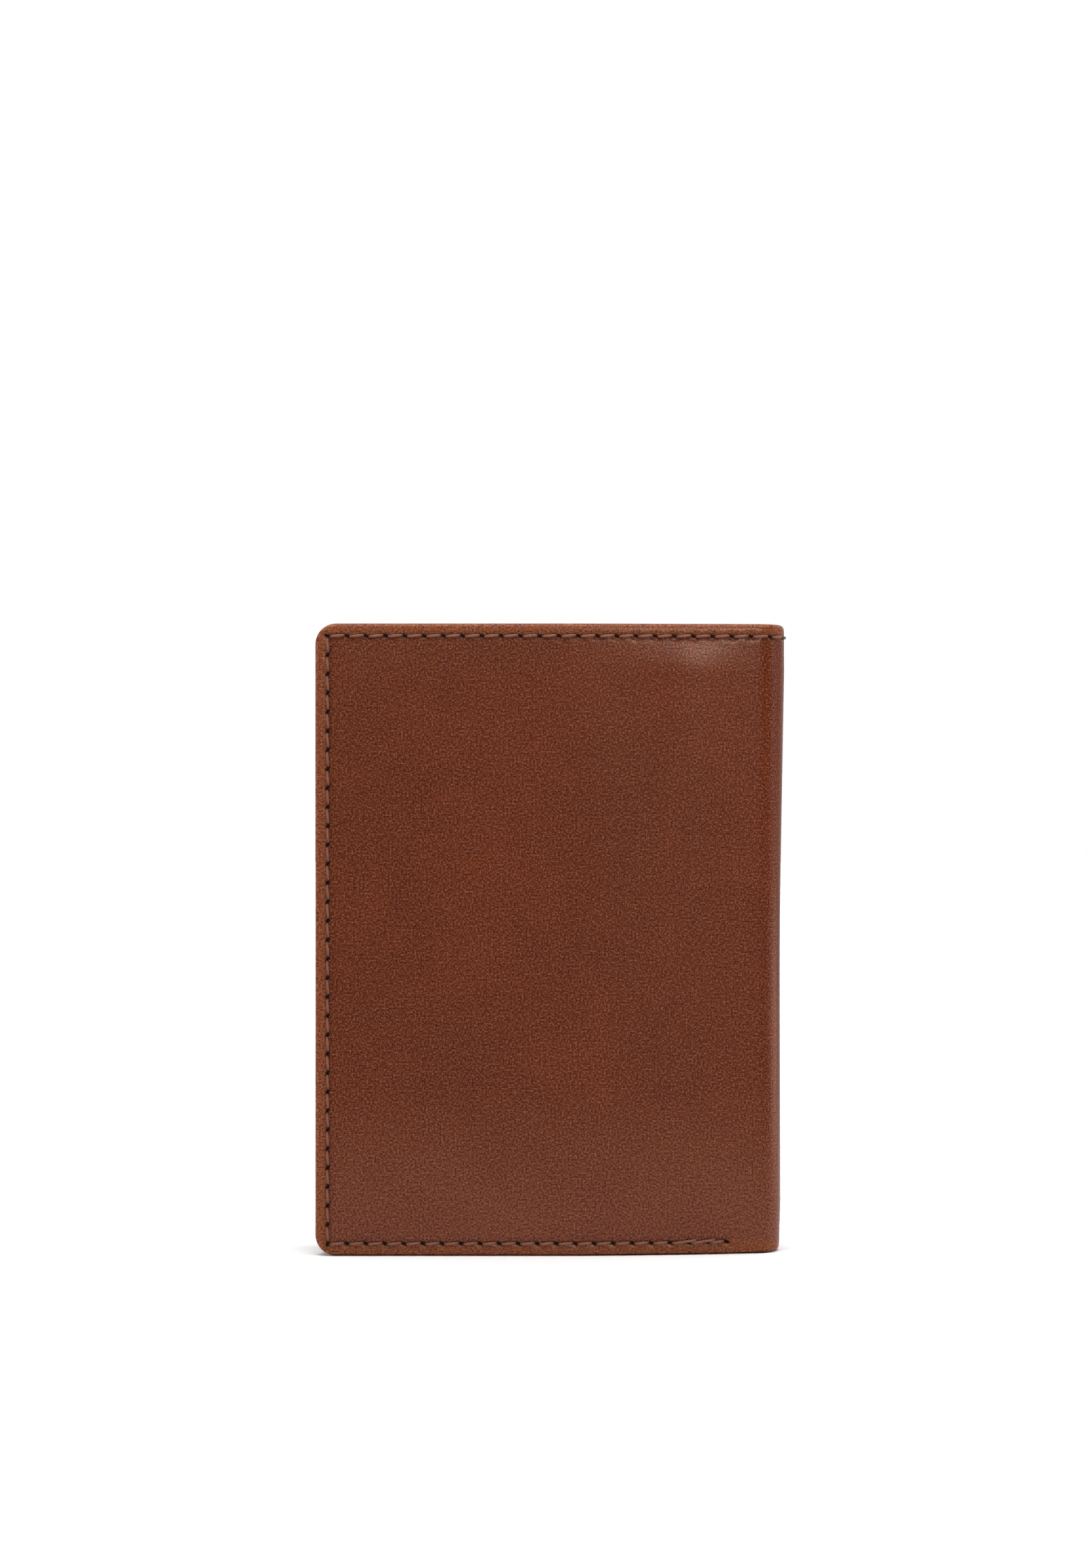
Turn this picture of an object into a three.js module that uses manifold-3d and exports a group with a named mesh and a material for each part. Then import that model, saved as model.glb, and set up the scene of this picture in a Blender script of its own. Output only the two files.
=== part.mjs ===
// Leather passport holder, closed and standing on its bottom edge.
// Millimetres, +Z up. The origin is at the centre of the bottom, the spine is on the +X side,
// the back cover faces -Y and the front cover faces +Y.
//
// One leather cover wraps both halves and the spine. It bends along two vertical fold lines, so it
// is three solids here: the back cover, the spine between the fold lines, and the front cover.
// Each half is a stack of flat layers. A layer's depth is measured inwards from the outer face.

import * as THREE from "three";
import { mergeVertices } from "three/addons/utils/BufferGeometryUtils.js";
import Module from "manifold-3d";

const wasm = await Module();
wasm.setup();

// Driving dimensions
const WIDTH = 100;
const HEIGHT = 135;
const THICKNESS = 15;
const CORNER_RADIUS = 4.5;
const LEATHER = 1.2;
const STITCH_INSET = 2.7;
const BOTTOM_SEAM_END = 10.4; // from the spine's outside to the back-tack
const LAYER_GAP = 0.05; // glue line between laminated layers

// Turned edge: the cover leather wraps round the board and returns on the inside
const RIM_WALL = 0.9;
const RETURN_WIDTH = 7;
const RETURN_DEPTH = [2.15, 2.6];
const WINDOW_RADIUS = 0.5; // least corner radius inside the turned edge

// Layer depths from the outer face, [outer side, inner side]
const BOARD_DEPTH = [1.25, 1.85];
const LINING_DEPTH = [1.9, 2.1];
const DIVIDER_LINING_DEPTH = [2.65, 2.85];
const DIVIDER_DEPTH = [2.9, 3.5];
const SLEEVE_LINING_DEPTH = [3.55, 3.75];
const SLEEVE_DEPTH = [3.8, 4.8];
const CARD_BACKING_DEPTH = [3.55, 3.7];
const CARD_SLOT_LEATHER = 0.4;
const CARD_SLOT_TOPS = [101, 86, 71]; // heights of the slot mouths, back slot first

// Inner panels
const LAYER_SETBACK = 0.4; // inner panels stop this far inside the cover's edge
const LAMINATE_INSET = RIM_WALL + 0.2; // board and lining stop this far inside it
const CLOTH_SETBACK = 1; // a divider's lining or the cards' backing stops this far inside its panel
const SLEEVE_CLOTH_SETBACK = 0.3;
const HEM_SETBACK = 0.5; // the spine hem's return starts this far below the top
const PANEL_SPINE_EDGE = 41.5; // X of the inner panels' edge beside the spine
const DIVIDER_TOP = HEIGHT - 2.3;
const DIVIDER_TOP_RADIUS = 2.6;
const SLEEVE_MOUTH = 14; // X of the passport sleeve's open edge
const INNER_SEAM_INSET = 1.8;
const INNER_TOP_SEAM_Z = DIVIDER_TOP - INNER_SEAM_INSET;
const CARD_SEAM_X = PANEL_SPINE_EDGE - INNER_SEAM_INSET;
const THUMB_NOTCH_RADIUS = 11;
const THUMB_NOTCH_OFFSET = 5; // the notch's centre is this far past the sleeve's edge

// Thread and the groove that it lies in
const THREAD_WIDTH = 0.5;
const THREAD_DEPTH = [0.06, 0.36];
const GROOVE_WIDTH = 0.9;
const GROOVE_DEPTH = 0.46;
const TOOL_CLEARANCE = 1; // a cutting tool runs this far past the face that it opens on
const GROOVE_CUT = [-TOOL_CLEARANCE, GROOVE_DEPTH];
const INNER_THREAD = 0.2;
const INNER_GROOVE = 0.3;
const THREAD_CLEARANCE = 0.02;
const THREAD_END = 1; // a seam stops this far from a mouth
const RUN_PAST = 0.4; // a groove is this much longer than its thread

// Spine: a half circle in plan, cut at the two fold lines
const FOLD_RADIUS = THICKNESS / 2;
const FOLD_CENTRE_X = WIDTH / 2 - FOLD_RADIUS;
const FOLD_ANGLE = Math.PI / 4;
const FOLD_GAP_ANGLE = THREE.MathUtils.degToRad(1);
const SPINE_LAYER_ANGLE = THREE.MathUtils.degToRad(40);
const SPINE_EDGE_ANGLE = FOLD_ANGLE - FOLD_GAP_ANGLE;
const ARC_STEPS = 12;

const LEFT = -WIDTH / 2;
const BACK = -1;
const FRONT = 1;

// Materials
const coverLeather = new THREE.MeshStandardMaterial({ color: 0x6f3a24, roughness: 0.42 });
const innerLeather = new THREE.MeshStandardMaterial({ color: 0x673520, roughness: 0.5 });
const liningCloth = new THREE.MeshStandardMaterial({ color: 0x3b2418, roughness: 0.85 });
const boardFibre = new THREE.MeshStandardMaterial({ color: 0x8a6a4c, roughness: 0.9 });
const threadFibre = new THREE.MeshStandardMaterial({ color: 0x7a4f3a, roughness: 0.6 });

// Solids ---------------------------------------------------------------------------------------

function solidFrom(geometry) {
  const bare = geometry.clone();
  bare.deleteAttribute("normal");
  bare.deleteAttribute("uv");
  const merged = mergeVertices(bare, 1e-4);
  return new wasm.Manifold(
    new wasm.Mesh({
      numProp: 3,
      vertProperties: merged.attributes.position.array,
      triVerts: new Uint32Array(merged.index.array),
    }),
  );
}

function geometryFrom(solid) {
  const mesh = solid.getMesh();
  const geometry = new THREE.BufferGeometry();
  geometry.setAttribute("position", new THREE.BufferAttribute(mesh.vertProperties, 3));
  geometry.setIndex(new THREE.BufferAttribute(mesh.triVerts, 1));
  geometry.computeVertexNormals();
  return geometry;
}

// An outline in the X-Z plane, extruded along Y between two places.
function extrudeAlongY(outline, yLow, yHigh) {
  const geometry = new THREE.ExtrudeGeometry(outline, {
    depth: yHigh - yLow,
    bevelEnabled: false,
    curveSegments: ARC_STEPS,
  });
  geometry.rotateX(Math.PI / 2);
  geometry.translate(0, yHigh, 0);
  return geometry;
}

// An outline in the X-Y plane, extruded along Z between two heights.
function extrudeAlongZ(outline, zLow, zHigh) {
  const geometry = new THREE.ExtrudeGeometry(outline, {
    depth: zHigh - zLow,
    bevelEnabled: false,
    curveSegments: ARC_STEPS,
  });
  geometry.translate(0, 0, zLow);
  return geometry;
}

// A rectangle whose two corners on the -X side are round.
function panelOutline(xLow, xHigh, zLow, zHigh, topRadius, bottomRadius = topRadius) {
  const outline = new THREE.Shape();
  outline.moveTo(xHigh, zLow);
  outline.lineTo(xHigh, zHigh);
  outline.lineTo(xLow + topRadius, zHigh);
  if (topRadius > 0) {
    outline.absarc(xLow + topRadius, zHigh - topRadius, topRadius, Math.PI / 2, Math.PI);
  }
  outline.lineTo(xLow, zLow + bottomRadius);
  if (bottomRadius > 0) {
    const centreX = xLow + bottomRadius;
    const centreZ = zLow + bottomRadius;
    outline.absarc(centreX, centreZ, bottomRadius, Math.PI, 1.5 * Math.PI);
  }
  outline.closePath();
  return outline;
}

// The Y range of a layer, given its depths from the outer face of one half.
function layerRange(side, [outer, inner]) {
  const ends = [side * (THICKNESS / 2 - outer), side * (THICKNESS / 2 - inner)];
  return [Math.min(...ends), Math.max(...ends)];
}

function layerGeometry(side, depths, outline) {
  return extrudeAlongY(outline, ...layerRange(side, depths));
}

function layerBox(side, depths, xLow, xHigh, zLow, zHigh) {
  return solidFrom(layerGeometry(side, depths, panelOutline(xLow, xHigh, zLow, zHigh, 0)));
}

// A part of the spine's ring, between two radii, two angles about +X and two heights.
function ringSector(rLow, rHigh, angleLow, angleHigh, zLow, zHigh) {
  const outline = new THREE.Shape();
  outline.absarc(FOLD_CENTRE_X, 0, rHigh, angleLow, angleHigh, false);
  outline.absarc(FOLD_CENTRE_X, 0, rLow, angleHigh, angleLow, true);
  outline.closePath();
  return solidFrom(extrudeAlongZ(outline, zLow, zHigh));
}

// Cover ----------------------------------------------------------------------------------------

// A leather layer in plan: flat from xLow to the spine, then round its share of the bend.
function wrapOutline(side, depths, xLow, angleEnd) {
  const start = side * (Math.PI / 2);
  const outer = FOLD_RADIUS - depths[0];
  const inner = FOLD_RADIUS - depths[1];
  const outline = new THREE.Shape();
  outline.moveTo(xLow, side * inner);
  outline.lineTo(xLow, side * outer);
  outline.lineTo(FOLD_CENTRE_X, side * outer);
  outline.absarc(FOLD_CENTRE_X, 0, outer, start, side * angleEnd, side === FRONT);
  outline.absarc(FOLD_CENTRE_X, 0, inner, side * angleEnd, start, side !== FRONT);
  outline.lineTo(xLow, side * inner);
  return outline;
}

function wrapLayer(side, depths, xLow, zLow, zHigh) {
  const outline = wrapOutline(side, depths, xLow, FOLD_ANGLE + FOLD_GAP_ANGLE);
  return solidFrom(extrudeAlongZ(outline, zLow, zHigh));
}

// Where a seam of this width runs on one half: over the top, down the outer side, along the bottom.
function coverSeam(side, depths, width) {
  const half = width / 2;
  const seamX = LEFT + STITCH_INSET;
  const topZ = HEIGHT - STITCH_INSET;
  const top = wrapLayer(side, depths, seamX - half, topZ - half, topZ + half);
  return top.add(innerSeam(side, depths, width, topZ));
}

// The same seam without its top run.
function innerSeam(side, depths, width, zTop) {
  const half = width / 2;
  const seamX = LEFT + STITCH_INSET;
  const endX = WIDTH / 2 - BOTTOM_SEAM_END + half;
  const low = STITCH_INSET - half;
  const outer = layerBox(side, depths, seamX - half, seamX + half, low, zTop);
  const bottom = layerBox(side, depths, seamX - half, endX, low, STITCH_INSET + half);
  return outer.add(bottom);
}

// A band along the top, outer and bottom edges of one half, open on the spine side.
function edgeFrame(side, depths, width) {
  const outline = panelOutline(LEFT, PANEL_SPINE_EDGE, 0, HEIGHT, CORNER_RADIUS);
  const innerRadius = Math.max(CORNER_RADIUS - width, WINDOW_RADIUS);
  const window = panelOutline(LEFT + width, WIDTH, width, HEIGHT - width, innerRadius);
  const past = [depths[0] - TOOL_CLEARANCE, depths[1] + TOOL_CLEARANCE];
  return solidFrom(layerGeometry(side, depths, outline)).subtract(
    solidFrom(layerGeometry(side, past, window)),
  );
}

function coverHalf(side) {
  const corners = panelOutline(LEFT, WIDTH, 0, HEIGHT, CORNER_RADIUS);
  const sheet = wrapLayer(side, [0, LEATHER], LEFT, 0, HEIGHT).intersect(
    solidFrom(extrudeAlongY(corners, -THICKNESS, THICKNESS)),
  );
  const rim = edgeFrame(side, [LEATHER / 2, RETURN_DEPTH[0] + LAYER_GAP], RIM_WALL);
  const turnedReturn = edgeFrame(side, RETURN_DEPTH, RETURN_WIDTH);
  const groove = coverSeam(side, GROOVE_CUT, GROOVE_WIDTH);
  return geometryFrom(sheet.add(rim).add(turnedReturn).subtract(groove));
}

function spineLayer(depths, angleEnd, zLow, zHigh) {
  const outer = FOLD_RADIUS - depths[0];
  const inner = FOLD_RADIUS - depths[1];
  return ringSector(inner, outer, -angleEnd, angleEnd, zLow, zHigh);
}

function coverSpine() {
  const angle = SPINE_LAYER_ANGLE;
  const topReach = [LEATHER / 2, RETURN_DEPTH[1]];
  const outer = spineLayer([0, LEATHER], SPINE_EDGE_ANGLE, 0, HEIGHT);
  const hemReturn = spineLayer(RETURN_DEPTH, angle, HEIGHT - RETURN_WIDTH, HEIGHT - HEM_SETBACK);
  const hemTop = spineLayer(topReach, angle, HEIGHT - RIM_WALL, HEIGHT);
  const low = HEIGHT - STITCH_INSET - GROOVE_WIDTH / 2;
  const groove = spineLayer(GROOVE_CUT, Math.PI / 2, low, low + GROOVE_WIDTH);
  return geometryFrom(outer.add(hemReturn).add(hemTop).subtract(groove));
}

// Layers inside each half ------------------------------------------------------------------------

// Board and lining lie under the turned edge, inside the rim.
function laminate(side, depths) {
  const inset = LAMINATE_INSET;
  const radius = CORNER_RADIUS - inset;
  const outline = panelOutline(LEFT + inset, PANEL_SPINE_EDGE, inset, HEIGHT - inset, radius);
  return layerGeometry(side, depths, outline);
}

function innerPanelOutline(xHigh, zHigh, topRadius) {
  const bottomRadius = CORNER_RADIUS - LAYER_SETBACK;
  return panelOutline(
    LEFT + LAYER_SETBACK,
    xHigh,
    LAYER_SETBACK,
    zHigh,
    topRadius,
    bottomRadius,
  );
}

function dividerLining(side) {
  return layerGeometry(
    side,
    DIVIDER_LINING_DEPTH,
    innerPanelOutline(
      PANEL_SPINE_EDGE - CLOTH_SETBACK,
      DIVIDER_TOP - CLOTH_SETBACK,
      DIVIDER_TOP_RADIUS,
    ),
  );
}

function divider(side, groove) {
  const outline = innerPanelOutline(PANEL_SPINE_EDGE, DIVIDER_TOP, DIVIDER_TOP_RADIUS);
  return geometryFrom(solidFrom(layerGeometry(side, DIVIDER_DEPTH, outline)).subtract(groove));
}

// Depths of a thread, or of its groove, sunk in a layer's inner face.
function sunk(layerDepths, clearance, depth) {
  return [layerDepths[1] - depth, layerDepths[1] - clearance];
}

function threadIn(layerDepths) {
  return sunk(layerDepths, THREAD_CLEARANCE, INNER_THREAD);
}

function grooveIn(layerDepths) {
  return sunk(layerDepths, -TOOL_CLEARANCE, INNER_GROOVE);
}

// Passport sleeve on the back half

function sleeveTopRun(depths, width) {
  const half = width / 2;
  const seamX = LEFT + STITCH_INSET;
  return layerBox(
    BACK,
    depths,
    seamX - half,
    SLEEVE_MOUTH + 2 * half,
    INNER_TOP_SEAM_Z - half,
    INNER_TOP_SEAM_Z + half,
  );
}

// A thumb notch in the middle of the sleeve's open edge.
function notched(depths, xHigh, zHigh) {
  const outline = innerPanelOutline(xHigh, zHigh, DIVIDER_TOP_RADIUS);
  const panel = layerGeometry(BACK, depths, outline);
  const notch = new THREE.Shape();
  const centreX = SLEEVE_MOUTH + THUMB_NOTCH_OFFSET;
  notch.absarc(centreX, HEIGHT / 2, THUMB_NOTCH_RADIUS, 0, 2 * Math.PI);
  return solidFrom(panel).subtract(solidFrom(extrudeAlongY(notch, -THICKNESS, 0)));
}

function passportSleeve() {
  const panel = notched(SLEEVE_DEPTH, SLEEVE_MOUTH, DIVIDER_TOP);
  const depths = grooveIn(SLEEVE_DEPTH);
  const groove = innerSeam(BACK, depths, GROOVE_WIDTH, INNER_TOP_SEAM_Z).add(
    sleeveTopRun(depths, GROOVE_WIDTH),
  );
  return geometryFrom(panel.subtract(groove));
}

function sleeveLining() {
  const mouth = SLEEVE_MOUTH - SLEEVE_CLOTH_SETBACK;
  return geometryFrom(notched(SLEEVE_LINING_DEPTH, mouth, DIVIDER_TOP - SLEEVE_CLOTH_SETBACK));
}

// The bobbin thread follows the sleeve. The sleeve's top seam is one with it.
function sleeveThread() {
  const depths = threadIn(SLEEVE_DEPTH);
  const endX = SLEEVE_MOUTH - THREAD_END;
  const half = THREAD_WIDTH / 2;
  const seamX = LEFT + STITCH_INSET;
  const runs = [
    [seamX - half, seamX + half, STITCH_INSET - half, INNER_TOP_SEAM_Z + half],
    [seamX - half, endX, STITCH_INSET - half, STITCH_INSET + half],
    [seamX - half, endX, INNER_TOP_SEAM_Z - half, INNER_TOP_SEAM_Z + half],
  ];
  const solids = runs.map((run) => layerBox(BACK, depths, ...run));
  return geometryFrom(solids.reduce((joined, run) => joined.add(run)));
}

// The rest of the bottom seam lies on the divider, between the sleeve's mouth and the back-tack.
function dividerBottomRun(depths, width, xLow) {
  const half = width / 2;
  const endX = WIDTH / 2 - BOTTOM_SEAM_END;
  return layerBox(BACK, depths, xLow, endX + half, STITCH_INSET - half, STITCH_INSET + half);
}

// Card slots on the front half
function cardSlotDepths(index) {
  const pitch = CARD_SLOT_LEATHER + LAYER_GAP;
  const outer = CARD_BACKING_DEPTH[1] + LAYER_GAP + index * pitch;
  return [outer, outer + CARD_SLOT_LEATHER];
}

const LAST_SLOT = CARD_SLOT_TOPS.length - 1;

function cardSlot(index) {
  const depths = cardSlotDepths(index);
  const panel = solidFrom(
    layerGeometry(FRONT, depths, innerPanelOutline(PANEL_SPINE_EDGE, CARD_SLOT_TOPS[index], 0)),
  );
  if (index < LAST_SLOT) return geometryFrom(panel);
  const grooveDepths = grooveIn(depths);
  const top = CARD_SLOT_TOPS[index] + TOOL_CLEARANCE;
  const groove = innerSeam(FRONT, grooveDepths, GROOVE_WIDTH, top).add(
    cardSideRun(grooveDepths, GROOVE_WIDTH, top),
  );
  return geometryFrom(panel.subtract(groove));
}

function cardSideRun(depths, width, zTop) {
  const half = width / 2;
  return layerBox(FRONT, depths, CARD_SEAM_X - half, CARD_SEAM_X + half, STITCH_INSET, zTop);
}

function cardBacking() {
  const top = CARD_SLOT_TOPS[0] - 2 * CLOTH_SETBACK;
  const outline = innerPanelOutline(PANEL_SPINE_EDGE - CLOTH_SETBACK, top, 0);
  return layerGeometry(FRONT, CARD_BACKING_DEPTH, outline);
}

function cardPanelThread() {
  const depths = threadIn(cardSlotDepths(LAST_SLOT));
  const top = CARD_SLOT_TOPS[LAST_SLOT] - THREAD_END;
  const seam = innerSeam(FRONT, depths, THREAD_WIDTH, top);
  return geometryFrom(seam.add(cardSideRun(depths, THREAD_WIDTH, top)));
}

// Hem of the front divider's top edge. past is how far its groove runs on at each end.
function dividerHemRun(depths, width, past) {
  const half = width / 2;
  return layerBox(
    FRONT,
    depths,
    LEFT + STITCH_INSET - past,
    CARD_SEAM_X + past,
    INNER_TOP_SEAM_Z - half,
    INNER_TOP_SEAM_Z + half,
  );
}

// Assembly ---------------------------------------------------------------------------------------

const holder = new THREE.Group();

function place(name, geometry, material) {
  const mesh = new THREE.Mesh(geometry, material);
  mesh.name = name;
  holder.add(mesh);
}

for (const [side, half] of [
  [BACK, "back"],
  [FRONT, "front"],
]) {
  place(`cover_${half}`, coverHalf(side), coverLeather);
  place(`board_${half}`, laminate(side, BOARD_DEPTH), boardFibre);
  place(`lining_${half}`, laminate(side, LINING_DEPTH), liningCloth);
  place(`divider_lining_${half}`, dividerLining(side), liningCloth);
  place(
    `needle_thread_${half}`,
    geometryFrom(coverSeam(side, THREAD_DEPTH, THREAD_WIDTH)),
    threadFibre,
  );
}

const laminateTop = HEIGHT - LAMINATE_INSET;
const seamLow = HEIGHT - STITCH_INSET - THREAD_WIDTH / 2;
const seamHigh = seamLow + THREAD_WIDTH;
place("cover_spine", coverSpine(), coverLeather);
for (const [name, depths, angle, low, high, material] of [
  ["spine_board", BOARD_DEPTH, SPINE_LAYER_ANGLE, LAMINATE_INSET, laminateTop, boardFibre],
  ["spine_lining", LINING_DEPTH, SPINE_LAYER_ANGLE, LAMINATE_INSET, laminateTop, liningCloth],
  ["needle_thread_spine", THREAD_DEPTH, SPINE_EDGE_ANGLE, seamLow, seamHigh, threadFibre],
]) {
  place(name, geometryFrom(spineLayer(depths, angle, low, high)), material);
}

const grooveDepths = grooveIn(DIVIDER_DEPTH);
const bottomGroove = dividerBottomRun(grooveDepths, GROOVE_WIDTH, SLEEVE_MOUTH - RUN_PAST);
const hemGroove = dividerHemRun(grooveDepths, GROOVE_WIDTH, RUN_PAST);
const threadDepths = threadIn(DIVIDER_DEPTH);
place("divider_back", divider(BACK, bottomGroove), innerLeather);
place("sleeve_lining", sleeveLining(), liningCloth);
place("passport_sleeve", passportSleeve(), innerLeather);
place("sleeve_thread", sleeveThread(), threadFibre);
place(
  "bobbin_thread_back",
  geometryFrom(dividerBottomRun(threadDepths, THREAD_WIDTH, SLEEVE_MOUTH)),
  threadFibre,
);

place("divider_front", divider(FRONT, hemGroove), innerLeather);
place(
  "divider_hem_thread",
  geometryFrom(dividerHemRun(threadDepths, THREAD_WIDTH, 0)),
  threadFibre,
);
place("card_backing", cardBacking(), liningCloth);
CARD_SLOT_TOPS.forEach((_, index) => {
  place(`card_slot_${index + 1}`, cardSlot(index), innerLeather);
});
place("card_panel_thread", cardPanelThread(), threadFibre);

export default holder;
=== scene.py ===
"""Looks of a leather passport holder, closed and standing on its bottom edge.

Every layer is drawn on the cover's own flat pattern and then wrapped round the spine. A point of the
pattern has s, its distance from the open edge of its half, z, its height, and a depth below the
cover's outer face. The two halves meet at the middle of the spine.
"""

import math

import bpy
import numpy as np
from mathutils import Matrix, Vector
from mathutils.geometry import delaunay_2d_cdt
from mathutils.kdtree import KDTree


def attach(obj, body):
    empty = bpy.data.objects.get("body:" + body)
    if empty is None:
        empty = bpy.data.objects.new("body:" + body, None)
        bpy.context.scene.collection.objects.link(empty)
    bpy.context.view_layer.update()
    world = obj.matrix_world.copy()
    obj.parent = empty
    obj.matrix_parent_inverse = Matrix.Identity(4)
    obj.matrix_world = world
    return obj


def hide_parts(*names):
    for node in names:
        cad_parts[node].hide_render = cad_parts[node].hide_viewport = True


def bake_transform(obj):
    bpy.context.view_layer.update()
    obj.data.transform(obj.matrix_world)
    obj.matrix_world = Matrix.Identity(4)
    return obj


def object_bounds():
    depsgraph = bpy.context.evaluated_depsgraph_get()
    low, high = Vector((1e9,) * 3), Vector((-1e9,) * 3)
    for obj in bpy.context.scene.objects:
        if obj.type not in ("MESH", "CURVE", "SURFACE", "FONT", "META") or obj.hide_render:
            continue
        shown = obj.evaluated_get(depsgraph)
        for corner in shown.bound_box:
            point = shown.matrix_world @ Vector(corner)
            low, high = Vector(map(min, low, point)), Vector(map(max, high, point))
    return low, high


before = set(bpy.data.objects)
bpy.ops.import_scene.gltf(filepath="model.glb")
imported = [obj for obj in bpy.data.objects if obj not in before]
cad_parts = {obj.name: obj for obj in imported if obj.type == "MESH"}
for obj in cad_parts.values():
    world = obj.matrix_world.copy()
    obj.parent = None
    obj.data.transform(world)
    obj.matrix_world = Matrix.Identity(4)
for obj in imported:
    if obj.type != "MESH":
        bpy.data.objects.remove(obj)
cad_low, cad_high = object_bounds()

MM = 0.001
WIDTH = cad_high.x - cad_low.x
THICKNESS = cad_high.y - cad_low.y
HEIGHT = cad_high.z - cad_low.z
OPEN_EDGE_X = cad_low.x

# Plan of the cover: flat back, a gentle slope towards the spine, a round spine, flat front
SLOPE_LENGTH = 44 * MM
SLOPE_ANGLE = 0.12
PLAN_STEP = 0.05 * MM

# Cover
CORNER_RADIUS = 4.5 * MM
LEATHER_INNER = 1.22 * MM
EDGE_ROUND = 0.9 * MM
FOLDED_EDGE = 2.6 * MM
RETURN_OUTER = 2.15 * MM
RETURN_WIDTH = 7 * MM
FLARE = 1.1 * MM
SWELL = 0.7 * MM
CORNER_STEPS = 14

# Seams
STITCH_PITCH = 4.05 * MM
STITCH_INSET = 2.7 * MM
BOTTOM_SEAM_LENGTH = 85.3 * MM
THREAD_RADIUS = 0.27 * MM
EDGE_TINT = (2.2 * MM, 3.6 * MM)
HOLE_LENGTH = 0.72 * MM
HOLE_WIDTH = 0.3 * MM
HOLE_SLANT = math.radians(22)

# Inner layers: depths from the outer face, as in the CAD
BOARD_DEPTH = (1.25 * MM, 1.85 * MM)
LINING_DEPTH = (1.9 * MM, 2.1 * MM)
DIVIDER_LINING_DEPTH = (2.65 * MM, 2.85 * MM)
DIVIDER_DEPTH = (2.9 * MM, 3.5 * MM)
SLEEVE_LINING_DEPTH = (3.55 * MM, 3.75 * MM)
SLEEVE_DEPTH = (3.8 * MM, 4.8 * MM)
CARD_BACKING_DEPTH = (3.55 * MM, 3.7 * MM)
CARD_SLOT_DEPTHS = [(3.75 * MM, 4.15 * MM), (4.2 * MM, 4.6 * MM), (4.65 * MM, 5.05 * MM)]


# Plan curve ------------------------------------------------------------------------------------


def make_plan():
    """Table of the cover's outer line in plan: distance along it, x, y and heading."""
    t = np.arange(0, 1, PLAN_STEP / SLOPE_LENGTH)
    slope = SLOPE_ANGLE * np.sin(t * math.pi / 2)
    drop = np.sin(slope).sum() * PLAN_STEP
    run = np.cos(slope).sum() * PLAN_STEP
    radius = (THICKNESS - drop) / (math.cos(SLOPE_ANGLE) + 1)
    back_flat = WIDTH - run - radius * (1 - math.sin(SLOPE_ANGLE))
    front_flat = WIDTH - radius
    arc = np.arange(SLOPE_ANGLE, math.pi, PLAN_STEP / radius)
    heading = np.concatenate(
        [
            np.zeros(round(back_flat / PLAN_STEP)),
            slope,
            arc,
            np.full(round(front_flat / PLAN_STEP), math.pi),
        ]
    )
    along = np.arange(len(heading)) * PLAN_STEP
    x = OPEN_EDGE_X + np.cumsum(np.cos(heading)) * PLAN_STEP
    y = cad_low.y + np.cumsum(np.sin(heading)) * PLAN_STEP
    return {
        "along": along,
        "x": x,
        "y": y,
        "heading": heading,
        "radius": radius,
        "slope_start": back_flat,
        "slope_end": back_flat + SLOPE_LENGTH,
        "front_start": back_flat + SLOPE_LENGTH + radius * (math.pi - SLOPE_ANGLE),
        "middle": back_flat + SLOPE_LENGTH + radius * (math.pi / 2 - SLOPE_ANGLE),
        "total": along[-1],
    }


PLAN = make_plan()
MIDDLE = PLAN["middle"]
HALF_LENGTH = {"back": MIDDLE, "front": PLAN["total"] - MIDDLE}


def smooth(value, low, high):
    """0 below low, 1 above high, and smooth between them."""
    t = np.clip((value - low) / (high - low), 0, 1)
    return t * t * (3 - 2 * t)


def flare(along, z):
    """How far the stiff hem pushes the cover outwards near the top of the spine."""
    near_spine = smooth(along, PLAN["slope_start"] + 20 * MM, PLAN["slope_end"] + 4 * MM)
    near_spine *= 1 - smooth(along, PLAN["front_start"] - 3 * MM, PLAN["front_start"] + 14 * MM)
    high = np.clip((z / HEIGHT - 0.47) / 0.53, 0, 1) ** 1.7
    crest = np.exp(-(((along - PLAN["slope_end"] + 15 * MM) / (9 * MM)) ** 2))
    below_top = HEIGHT - z
    crest *= smooth(below_top, 0.5 * MM, 10 * MM) * (1 - smooth(below_top, 10 * MM, 75 * MM))
    return FLARE * near_spine * high + SWELL * crest


def wrap(side, s, z, depth):
    """Points in the row frame for points of one half's flat pattern."""
    along = s if side == "back" else PLAN["total"] - s
    heading = np.interp(along, PLAN["along"], PLAN["heading"])
    x = np.interp(along, PLAN["along"], PLAN["x"])
    y = np.interp(along, PLAN["along"], PLAN["y"])
    out = flare(along, z) - depth
    return np.column_stack([x + np.sin(heading) * out, y - np.cos(heading) * out, z])


# Outlines --------------------------------------------------------------------------------------


def panel(s_low, s_high, z_low, z_high, left, right=1.0 * MM, top_left=None, cut=False, notch=None):
    """A panel's outline on the flat pattern. cut leaves the side at s_high square and without an
    inset, for a layer that meets the other half there. notch is (how far its centre is past s_high,
    radius)."""
    return {
        "s": (s_low, s_high),
        "z": (z_low, z_high),
        "left": left,
        "top_left": left if top_left is None else top_left,
        "right": right,
        "cut": cut,
        "notch": notch,
    }


def arc_points(centre, radius, start, end, steps=CORNER_STEPS):
    angles = np.linspace(start, end, steps)
    return np.column_stack(
        [centre[0] + radius * np.cos(angles), centre[1] + radius * np.sin(angles)]
    )


def subdivide(corners, step):
    """Points along a closed line of corners, about a step apart."""
    made = []
    for a, b in zip(corners, np.roll(corners, -1, axis=0)):
        count = max(1, round(np.linalg.norm(b - a) / step))
        made.append(a + (b - a) * (np.arange(count) / count)[:, None])
    return np.concatenate(made)


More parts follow.
